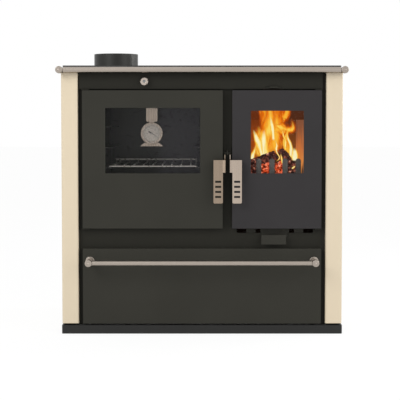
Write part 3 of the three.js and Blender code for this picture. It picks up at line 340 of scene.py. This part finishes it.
PALE_EMBER = linear(255, 196, 160)
PALE = linear(255, 248, 200)
STRAW = linear(255, 220, 98)
YELLOW = linear(253, 186, 56)
AMBER = linear(246, 146, 30)
ORANGE = linear(222, 98, 10)
RUST = linear(190, 74, 8)
DULL = (0.55, 0.85, 1.6)  # a tint that takes red out of the fire's light


def make_finishes():
    stove_paint("charcoal", linear(52, 51, 45))
    stove_paint("charcoal_right", linear(53, 51, 52))
    stove_paint("black", linear(39, 38, 32), 0.55)
    stove_paint("plinth_black", linear(48, 48, 47))
    surface("hob_black", linear(44, 44, 43), 0.38, 0.12, grain=240, relief=0.12, Metallic=0.3)
    surface("cast", linear(52, 51, 48), 0.65, 0.15, grain=420, relief=0.35, distance=0.0008,
            Metallic=0.3)
    surface("guard", linear(84, 80, 76), 0.6, 0.15, grain=420, relief=0.3, distance=0.0008)
    surface("collar", linear(45, 45, 42), 0.4, 0.05, grain=420, relief=0.04,
            rough_spread=0.04, Metallic=0.5)
    surface("enamel", CREAM, 0.24, 0.012, grain=120, relief=0.02, patch=2, rough_spread=0.03,
            Coat_Weight=0.35, Coat_Roughness=0.08)
    brushed("steel_x", STEEL_SHADED, 0)
    brushed("steel_y", STEEL_SHADED, 1)
    brushed("steel_z", STEEL, 2)
    brushed("steel_dull", STEEL_DULL, 2)
    surface("chrome", linear(190, 178, 168), 0.1, 0.03, grain=90, relief=0.01,
            rough_spread=0.03, Metallic=1.0)
    surface("wire", linear(190, 184, 176), 0.3, 0.05, grain=90, relief=0.02, Metallic=0.85)
    surface("zinc", linear(128, 130, 131), 0.42, grain=70, relief=0.03, patch=45,
            Metallic=0.85)
    # the oven glass carries a painted reflection on its right part
    pane("oven_glass", linear(16, 16, 14), 0.14, (PAINTED_REFLECTION, REFLECTION_BEGINS, REFLECTION_FULL))
    pane("fire_glass", linear(20, 14, 10), 0.03)
    pane("lens", linear(230, 232, 230), 0.08)
    speckled_enamel("oven_enamel", linear(47, 46, 38), linear(110, 108, 98))
    rope_weave("rope_weave", linear(28, 27, 26), linear(78, 76, 72))
    surface("dial", linear(200, 188, 175), 0.5, 0.03, grain=300, relief=0.02)
    surface("needle", linear(38, 18, 13), 0.4, grain=300, relief=0.02)
    surface("ink", linear(40, 38, 36), 0.6, grain=300, relief=0.02)


def make_fire_looks():
    flame_material("flame_core", [(0, AMBER), (0.2, YELLOW), (0.4, STRAW), (0.74, PALE)],
                   soft=0.5, opacity=0.95)
    flame_material("flame_body", [(0, ORANGE), (0.2, AMBER), (0.45, YELLOW), (0.8, STRAW)],
                   soft=0.6, opacity=0.9)
    flame_material("flame_back", [(0, RUST), (0.2, ORANGE), (0.42, AMBER), (0.75, YELLOW)],
                   soft=0.6, opacity=0.92)
    ember_material("char", linear(70, 50, 52), linear(126, 60, 44), 0.5, 0.6, 90)
    ember_material("coal", linear(70, 24, 20), linear(232, 84, 38), 0.42, 0.55, 75)
    lit_by_fire("brick_back", [(0, linear(156, 74, 24)), (0.6, linear(140, 62, 18)),
                               (1, linear(98, 44, 16))], 520, 690, DULL)
    lit_by_fire("brick_right", [(0, linear(70, 50, 40)), (0.18, linear(212, 130, 58)),
                                (0.5, linear(188, 105, 54)), (0.8, linear(124, 75, 50)),
                                (1, linear(116, 73, 53))], 500, 690)
    lit_by_fire("shell_inside", [(0, BLACK), (0.05, linear(96, 42, 14)),
                                 (1, linear(92, 44, 22))], 672, 730, DULL)


make_finishes()
make_fire_looks()


# ---- dressing the CAD nodes ----------------------------------------------------
def by_name(groups):
    """Each name of a group's line, with the group's key."""
    return {name: key for key, names in groups.items() for name in names.split()}


LOOK_OF = by_name({
    "plinth_black": "plinth",
    "enamel": "side_panel_left side_panel_right",
    "black": "front_frame fascia drawer_bay_floor latch_keeper drawer_box "
             "hinge_oven_upper hinge_oven_lower hinge_firebox_upper hinge_firebox_lower "
             "oven_latch_bracket firebox_latch_bracket",
    "charcoal": "oven_door_panel drawer_front oven_door_inner primary_air_slide "
                "secondary_air_slide",
    "charcoal_right": "firebox_door_panel firebox_door_inner",
    "hob_black": "hob_plate hob_ring hob_lid",
    "cast": "grate",
    "guard": "log_guard",
    "collar": "flue_collar",
    "steel_x": "hob_rail_front drawer_rail",
    "steel_y": "hob_rail_left hob_rail_right rail_corner_left rail_corner_right "
               "drawer_post_left drawer_post_right",
    "steel_z": "firebox_handle thermometer_bracket thermometer_case",
    "steel_dull": "oven_handle",
    "chrome": "damper_knob",
    "wire": "oven_rack",
    "zinc": "rear_panel ash_pan damper_rod damper_flap drawer_runner_left drawer_runner_right",
    "oven_enamel": "oven_liner",
    "oven_glass": "oven_door_glass",
    "fire_glass": "firebox_door_glass",
    "lens": "thermometer_lens",
    "brick_back": "firebrick_left firebrick_back",
    "brick_right": "firebrick_right",
    "shell_inside": "firebox_shell",
    "rope_weave": "oven_door_gasket firebox_door_gasket",
    "dial": "thermometer_dial",
    "needle": "thermometer_pointer",
})
EDGE_RADIUS = by_name({  # millimetres
    1.5: "hob_plate firebrick_left firebrick_right firebrick_back",
    1.2: "oven_door_panel firebox_door_panel drawer_front grate log_guard",
    1.0: "plinth",
    0.7: "hob_ring hob_lid",
    0.6: "flue_collar",
    0.5: "oven_handle firebox_handle oven_door_glass firebox_door_glass",
})
PLAIN_RADIUS = 0.35
SMOOTH_ANGLE = math.radians(32)
FLAT_ANGLE = math.radians(0.6)  # facets that meet at less than this are one face
SAME_POINT = 1e-6  # metres
BODIES = frame["record"]["behaviour"]["bodies"]
BODY_OF = {node: body for body, nodes in BODIES.items() for node in nodes}


def add_piece(name, bm, look, body):
    """The bmesh as a finished piece that rides a body."""
    mesh = bpy.data.meshes.new(name)
    bm.to_mesh(mesh)
    bm.free()
    mesh.materials.append(LOOK[look])
    ob = bpy.data.objects.new(name, mesh)
    scene.collection.objects.link(ob)
    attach(ob, body)
    return ob


def smooth(mesh):
    for polygon in mesh.polygons:
        polygon.use_smooth = True
    mesh.set_sharp_from_angle(angle=SMOOTH_ANGLE)


def dress(node):
    """The node's own shape with its sharp edges rounded, as a separate finished ob."""
    bm = bmesh.new()
    bm.from_mesh(frame["nodes"][node].data)
    bmesh.ops.remove_doubles(bm, verts=bm.verts, dist=SAME_POINT)
    bmesh.ops.dissolve_limit(bm, angle_limit=FLAT_ANGLE, verts=bm.verts, edges=bm.edges)
    ob = add_piece(node + "_finish", bm, LOOK_OF[node], BODY_OF[node])
    bevel = ob.modifiers.new("round", "BEVEL")
    bevel.width = EDGE_RADIUS.get(node, PLAIN_RADIUS) * MM
    bevel.segments = 2
    bevel.limit_method = "ANGLE"
    bevel.angle_limit = SMOOTH_ANGLE
    bevel.harden_normals = True
    smooth(ob.data)
    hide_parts(node)


for node in frame["nodes"]:
    dress(node)


# ---- the fire, in millimetres ------------------------------------------------------
def at(x, depth, z):
    """A point in metres from millimetres, with depth counted from the front plane."""
    return Vector((x * MM, FRONT + depth * MM, z * MM))


CURVE_STEPS = 8  # from one given point to the next


def curve_through(points):
    """Points along a smooth Catmull-Rom line through the given ones."""
    points = [Vector(point) for point in points]
    ends = [2 * points[0] - points[1], *points, 2 * points[-1] - points[-2]]
    line = []
    for before, start, end, after in zip(ends, ends[1:], ends[2:], ends[3:]):
        slope = end - before
        bend = 2 * before - 5 * start + 4 * end - after
        twist = 3 * start - before - 3 * end + after
        for i in range(CURVE_STEPS):
            way = i / CURVE_STEPS
            line.append(0.5 * (2 * start + slope * way + bend * way ** 2 + twist * way ** 3))
    return [*line, points[-1]]


STRIP_COLUMNS = 6
STRIP_REACH = 0.62  # half a strip's width as a share of its flame's, which fades inside it
FOOT_WIDTH = 0.6  # a strip's width at its foot, as a share of its full one
FOOT_GROWTH = 1.6  # how fast that share grows along the strip
TIP_TAPER = 0.7  # how much narrower its tip is
STRIP_BOW = 0.3  # how far its middle bows to the front, as a share of its half width


def flames(kind, tongues):
    """One bowed strip for each tongue, joined as one ob. The flow attribute runs
    from -1 to 1 across a strip and from 0 to 1 up it."""
    bm = bmesh.new()
    flow = bm.verts.layers.float_vector.new("flow")
    for width, path in tongues:
        line = curve_through(path)
        last = len(line) - 1
        rows = []
        for i, centre in enumerate(line):
            way = i / last
            ahead = line[min(i + 1, last)] - line[max(i - 1, 0)]
            across = Vector((ahead.z, 0, -ahead.x)).normalized()
            taper = min(1, FOOT_WIDTH + FOOT_GROWTH * way) * (1 - TIP_TAPER * way ** 3)
            half = STRIP_REACH * width * taper
            row = []
            for k in range(STRIP_COLUMNS + 1):
                sideways = 2 * k / STRIP_COLUMNS - 1
                bow = Vector((0, STRIP_BOW * half * (sideways ** 2 - 1), 0))
                vertex = bm.verts.new(at(*(centre + across * half * sideways + bow)))
                vertex[flow] = (sideways, way, 0)
                row.append(vertex)
            rows.append(row)
        for low, high in zip(rows, rows[1:]):
            for k in range(STRIP_COLUMNS):
                bm.faces.new((low[k], low[k + 1], high[k + 1], high[k]))
    ob = add_piece("flames_" + kind, bm, "flame_" + kind, "casing")
    smooth(ob.data)
    ob.visible_shadow = False


def join_rings(bm, rings):
    """Faces between neighbouring rings of vertices and over both ends."""
    for first, second in zip(rings, rings[1:]):
        for j in range(len(first)):
            k = (j + 1) % len(first)
            bm.faces.new((first[j], first[k], second[k], second[j]))
    bm.faces.new(rings[0][::-1])
    bm.faces.new(rings[-1])
    bmesh.ops.recalc_face_normals(bm, faces=bm.faces)


LOG_RINGS = 34
LOG_SIDES = 22
LOG_FACETS = 5  # flats round a split log, each at its own distance from the middle
FACET_NEAR = 0.82  # as a share of the radius, like the depths below
FACET_FAR = 1.1
CRACKS = 9  # round the log
CRACK_DEPTH = 0.09
CRACK_SWAY = 5  # radians of its wave that a crack sways to either side
SWAY_WAVE = 7  # radians of the sway from end to end
RELIEF = 0.05  # depth of the roughening waves
RELIEF_ALONG = 23  # radians of these waves from end to end
RELIEF_ROUND = 7  # how many there are round the log
CUT_END = 0.9  # the end rings' size, so that the cut edges are worn


def log(name, start, end, radius, seed):
    """A split, charred log: rings round a line, roughened by steady waves."""
    chance = random.Random(seed)
    start = at(*start)
    end = at(*end)
    along = (end - start).normalized()
    side = along.cross(Vector((0, 0, 1))).normalized()
    up = side.cross(along)
    facets = [chance.uniform(FACET_NEAR, FACET_FAR) for _ in range(LOG_FACETS)]
    bm = bmesh.new()
    rings = []
    for i in range(LOG_RINGS + 1):
        way = i / LOG_RINGS
        cut = CUT_END if i in (0, LOG_RINGS) else 1
        ring = []
        for j in range(LOG_SIDES):
            turn = 2 * math.pi * j / LOG_SIDES
            facet = facets[int(LOG_FACETS * j / LOG_SIDES)]
            sway = CRACK_SWAY * math.sin(SWAY_WAVE * way + seed)
            crack = 1 - CRACK_DEPTH * max(0, math.sin(CRACKS * turn + sway))
            rough = 1 + RELIEF * math.sin(RELIEF_ALONG * way + RELIEF_ROUND * turn + seed)
            size = radius * MM * facet * crack * rough * cut
            ring.append(bm.verts.new(start.lerp(end, way) + side * size * math.cos(turn)
                                     + up * size * math.sin(turn)))
        rings.append(ring)
    join_rings(bm, rings)
    add_piece(name, bm, "char", "casing")


COAL_RELIEF = 0.25  # as a share of the radius
COAL_WAVE_X = 500  # radians to the metre
COAL_WAVE_Z = 430
COAL_HEIGHT = 0.85  # as a share of its width


def embers(name, look, count, xs, depths, zs, radii, seed):
    """Broken coals heaped in a box of space, each a roughened ball, joined as one ob."""
    chance = random.Random(seed)
    bm = bmesh.new()
    for _ in range(count):
        size = chance.uniform(*radii)
        centre = at(chance.uniform(*xs), chance.uniform(*depths), chance.uniform(*zs))
        made = bmesh.ops.create_icosphere(bm, subdivisions=2, radius=size * MM)
        for vertex in made["verts"]:
            x_wave = math.sin(COAL_WAVE_X * vertex.co.x + size)
            z_wave = math.cos(COAL_WAVE_Z * vertex.co.z + size)
            vertex.co *= 1 + COAL_RELIEF * x_wave * z_wave
            vertex.co.z *= COAL_HEIGHT
            vertex.co += centre
    add_piece(name, bm, look, "casing")


# Name, look, how many, their ranges of x, depth, z and radius, and the seed.
EMBERS = [
    ("ember_bed", "char", 40, (160, 314), (80, 230), (488, 505), (9, 16), 7),
    ("embers_left", "coal", 16, (196, 216), (62, 92), (494, 538), (7, 11), 3),
    ("embers_middle", "coal", 18, (238, 260), (60, 92), (494, 542), (7, 11), 5),
]
# Name, both ends as (x, depth, z), the radius and the seed.
LOGS = [
    ("log_left", (152, 120, 528), (242, 132, 561), 19, 1),
    ("log_right", (249, 126, 569), (308, 148, 526), 21, 2),
    ("log_stub_left", (158, 62, 516), (176, 140, 524), 17, 3),
    ("log_stub_right", (292, 72, 518), (286, 140, 520), 15, 4),
    ("log_rear", (168, 300, 520), (300, 260, 530), 27, 5),
]
# Each flame's width, and its (x, depth, z) points from foot to tip.
BACK_FLAMES = [
    (78, [(226, 292, 566), (232, 292, 640), (238, 292, 690), (238, 292, 757)]),
    (38, [(204, 280, 556), (212, 280, 619), (226, 280, 668), (228, 280, 718), (228, 280, 757)]),
    (62, [(240, 285, 560), (248, 285, 627), (253, 285, 668), (257, 285, 719), (264, 285, 757)]),
    (34, [(250, 286, 600), (254, 286, 636), (264, 286, 664), (277, 284, 686), (290, 284, 712),
          (302, 284, 770)]),
    (40, [(244, 272, 646), (262, 272, 650), (280, 272, 647), (298, 272, 648), (305, 272, 660),
          (300, 272, 686)]),
    (38, [(220, 290, 650), (216, 290, 684), (209, 290, 715), (200, 290, 757)]),
    (30, [(214, 291, 640), (208, 291, 680), (200, 291, 715), (192, 291, 757)]),
    (32, [(277, 264, 682), (281, 264, 702), (285, 264, 722), (290, 264, 770)]),
    (24, [(292, 275, 560), (286, 275, 595), (284, 275, 619), (282, 275, 645)]),
]
BODY_FLAMES = [
    (38, [(206, 235, 552), (203, 235, 595), (212, 235, 628), (227, 235, 655), (229, 235, 684),
          (226, 235, 716), (224, 235, 755)]),
    (42, [(199, 240, 552), (198, 240, 603), (194, 240, 629), (187, 240, 660)]),
    (15, [(281, 226, 570), (276, 226, 604), (281, 226, 629), (289, 226, 649), (311, 226, 656)]),
    (22, [(244, 227, 662), (262, 227, 655), (280, 227, 648), (295, 227, 646), (304, 227, 654),
          (300, 227, 676)]),
]
CORE_FLAMES = [
    (21, [(198, 180, 560), (187, 180, 603), (177, 180, 624), (169, 180, 648)]),
    (33, [(202, 184, 548), (203, 184, 585), (205, 184, 614), (206, 184, 648)]),
    (15, [(236, 178, 612), (235, 178, 636), (231, 178, 660), (225, 178, 694)]),
    (14, [(162, 130, 548), (166, 130, 564), (171, 130, 578), (176, 130, 600)]),
    (13, [(301, 120, 552), (291, 120, 568), (288, 120, 597), (279, 120, 621), (276, 120, 646)]),
    (9, [(275, 176, 586), (275, 176, 611), (269, 176, 627), (265, 176, 650)]),
    (25, [(301, 110, 546), (303, 110, 568), (297, 110, 590)]),
    (5, [(237, 62, 585), (241, 62, 574), (248, 62, 561), (245, 62, 552), (235, 62, 546)]),
    (9, [(260, 62, 528), (257, 62, 550), (252, 62, 573)]),
    (8, [(244, 150, 578), (243, 150, 588), (245, 150, 597), (238, 150, 618)]),
    (7, [(288, 62, 523), (294, 62, 528), (300, 62, 532)]),
]


def make_fire():
    for row in EMBERS:
        embers(*row)
    for row in LOGS:
        log(*row)
    flames("back", BACK_FLAMES)
    flames("body", BODY_FLAMES)
    flames("core", CORE_FLAMES)


make_fire()


# ---- small pieces, in millimetres and degrees --------------------------------------
SCREW_SIDES = 36
SCREW_RADIUS = 3.2  # the cap's round recess has 3.4
SCREW_SINK = 0.05  # behind the front of the cap
# Rings from the rim inwards: share of the radius, depth behind the face, six-sided or not.
SCREW_PROFILE = [
    (1.0, 0.8, False), (0.97, 0.3, False), (0.8, 0.05, False), (0.52, 0.0, False),
    (0.5, 0.0, True), (0.48, 0.35, True), (0.47, 1.0, True),
]


def hexagon(turn):
    """How near a six-sided ring's edge comes at this turn, as a share of its corners'."""
    sixth = math.pi / 3
    return math.cos(sixth / 2) / math.cos((turn + sixth / 2) % sixth - sixth / 2)


def screw(name, centre, body):
    """A pan-head screw facing the front, with a six-sided socket."""
    bm = bmesh.new()
    rings = []
    for share, depth, six_sided in SCREW_PROFILE:
        ring = []
        for i in range(SCREW_SIDES):
            turn = 2 * math.pi * i / SCREW_SIDES
            reach = SCREW_RADIUS * share * (hexagon(turn) if six_sided else 1)
            place = Vector((reach * math.cos(turn), depth, reach * math.sin(turn)))
            ring.append(bm.verts.new(centre + place * MM))
        rings.append(ring)
    join_rings(bm, rings)
    ob = add_piece(name, bm, "chrome", body)
    smooth(ob.data)


def make_screws():
    for side in ("left", "right"):
        for node, body in ((f"rail_corner_{side}", "casing"), (f"drawer_post_{side}", "drawer")):
            low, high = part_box(node)
            middle = (low + high) / 2
            centre = Vector((middle.x, low.y + SCREW_SINK * MM, middle.z))
            screw(f"screw_{node}", centre, body)


make_screws()

DIAL_THICK = 1.2  # its disc, without the pin in its middle
PRINT_THICK = 0.06
SCALE_START = -135  # degrees from upright, clockwise as seen from the front
TICKS = 61
TICK_STEP = 4.5
TICK_END = 24.3  # from the dial's middle
TICKS_TO_LONG = 5  # every fifth one is long
SHORT_TICK = (21.5, 0.3)  # where it starts, and its width
LONG_TICK = (20.0, 0.55)
NUMBERS = 7
NUMBER_STEP = 45  # degrees
NUMBER_VALUE = 50  # added from number to number
NUMBER_REACH = 15.6
NUMBER_SIZE = 4.6


def outwards(degrees):
    """The direction from the dial's middle at this turn."""
    turn = math.radians(degrees)
    return Vector((math.sin(turn), 0, math.cos(turn)))


def add_tick(bm, middle, degrees, start, width):
    out = outwards(degrees)
    side = Vector((out.z, 0, -out.x)) * width / 2
    flat = [out * start - side, out * TICK_END - side, out * TICK_END + side, out * start + side]
    front = [bm.verts.new(middle + corner * MM) for corner in flat]
    back = [bm.verts.new(vertex.co + Vector((0, PRINT_THICK * MM, 0))) for vertex in front]
    join_rings(bm, [front, back])


def dial_ticks(middle):
    bm = bmesh.new()
    for i in range(TICKS):
        start, width = SHORT_TICK if i % TICKS_TO_LONG else LONG_TICK
        add_tick(bm, middle, SCALE_START + TICK_STEP * i, start, width)
    add_piece("dial_ticks", bm, "ink", "oven_door")


def dial_number(i, middle):
    curve = bpy.data.curves.new(f"dial_number_{i}", "FONT")
    curve.body = str(NUMBER_VALUE * i)
    curve.size = NUMBER_SIZE * MM
    curve.extrude = PRINT_THICK / 2 * MM
    curve.align_x = "CENTER"
    curve.align_y = "CENTER"
    curve.materials.append(LOOK["ink"])
    ob = bpy.data.objects.new(f"dial_number_{i}", curve)
    place = outwards(SCALE_START + NUMBER_STEP * i) * NUMBER_REACH
    ob.location = middle + (place + Vector((0, PRINT_THICK / 2, 0))) * MM
    ob.rotation_euler = (math.pi / 2, 0, 0)
    scene.collection.objects.link(ob)
    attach(ob, "oven_door")


def dial_print():
    """Scale ticks and plain numbers on the thermometer's face."""
    low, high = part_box("thermometer_dial")
    middle = (low + high) / 2
    middle.y = high.y - (DIAL_THICK + PRINT_THICK) * MM
    dial_ticks(middle)
    for i in range(NUMBERS):
        dial_number(i, middle)


dial_print()


# ---- stage: floor, world and lamps -----------------------------------------------
WHITE = (1, 1, 1, 1)
FLOOR_REACH = 30
FLOOR_GREY = (0.9, 0.9, 0.9, 1)
FLOOR_GLOW = 1.04  # what the camera sees of it, mixed over the lit grey
FLOOR_GLOW_SHARE = 0.88
WORLD_LIGHT = 0.57  # its strength for diffuse light, while the camera sees pure white
# Name, place, target and size in metres, and power in watts.
LAMPS = [
    ("key", (-2.6, -3.2, 2.6), (0, -0.2, 0.5), (2.2, 2.2), 65),
    ("fill", (3.0, -2.6, 1.6), (0, -0.2, 0.5), (2.6, 2.6), 35),
    ("edge", (2.6, 0.9, 1.3), (0, 0, 0.9), (0.9, 1.4), 24),
]


def seen(tree):
    """1 for rays from the camera, and for those that metal and glass send on."""
    path = tree.nodes.new("ShaderNodeLightPath")
    total = path.outputs["Is Camera Ray"]
    for kind in ("Is Glossy Ray", "Is Transmission Ray"):
        add = tree.nodes.new("ShaderNodeMath")
        add.use_clamp = True
        tree.links.new(total, add.inputs[0])
        tree.links.new(path.outputs[kind], add.inputs[1])
        total = add.outputs[0]
    return total


def make_floor():
    mesh = bpy.data.meshes.new("floor")
    far = FLOOR_REACH
    mesh.from_pydata([(-far, -far, 0), (far, -far, 0), (far, far, 0), (-far, far, 0)], [],
                     [(0, 1, 2, 3)])
    floor = bpy.data.objects.new("floor", mesh)
    scene.collection.objects.link(floor)
    nodes = Nodes("floor_paper")
    nodes.set(Base_Color=FLOOR_GREY, Roughness=0.9)
    light = nodes.add("ShaderNodeEmission")
    fill(light, Color=WHITE, Strength=FLOOR_GLOW)
    mix = nodes.add("ShaderNodeMixShader")
    nodes.link(nodes.compute("MULTIPLY", seen(nodes.tree), FLOOR_GLOW_SHARE), mix.inputs["Fac"])
    nodes.link(nodes.shader.outputs[0], mix.inputs[1])
    nodes.link(light.outputs[0], mix.inputs[2])
    nodes.link(mix.outputs[0], nodes.tree.nodes["Material Output"].inputs["Surface"])
    mesh.materials.append(nodes.material)


def make_world():
    world = bpy.data.worlds.new("studio")
    scene.world = world
    world.use_nodes = True
    tree = world.node_tree
    background = tree.nodes["Background"]
    bright = tree.nodes.new("ShaderNodeMapRange")
    fill(bright, To_Min=WORLD_LIGHT, To_Max=1.0)
    tree.links.new(seen(tree), bright.inputs["Value"])
    tree.links.new(bright.outputs["Result"], background.inputs["Strength"])
    fill(background, Color=WHITE)


def make_lamp(name, place, target, size, power):
    data = bpy.data.lights.new(name, "AREA")
    data.shape = "RECTANGLE"
    data.size, data.size_y = size
    data.energy = power
    ob = bpy.data.objects.new(name, data)
    ob.location = place
    ob.rotation_euler = (Vector(target) - Vector(place)).to_track_quat("-Z", "Y").to_euler()
    scene.collection.objects.link(ob)


make_floor()
make_world()
for row in LAMPS:
    make_lamp(*row)
scene.view_settings.view_transform = "Standard"
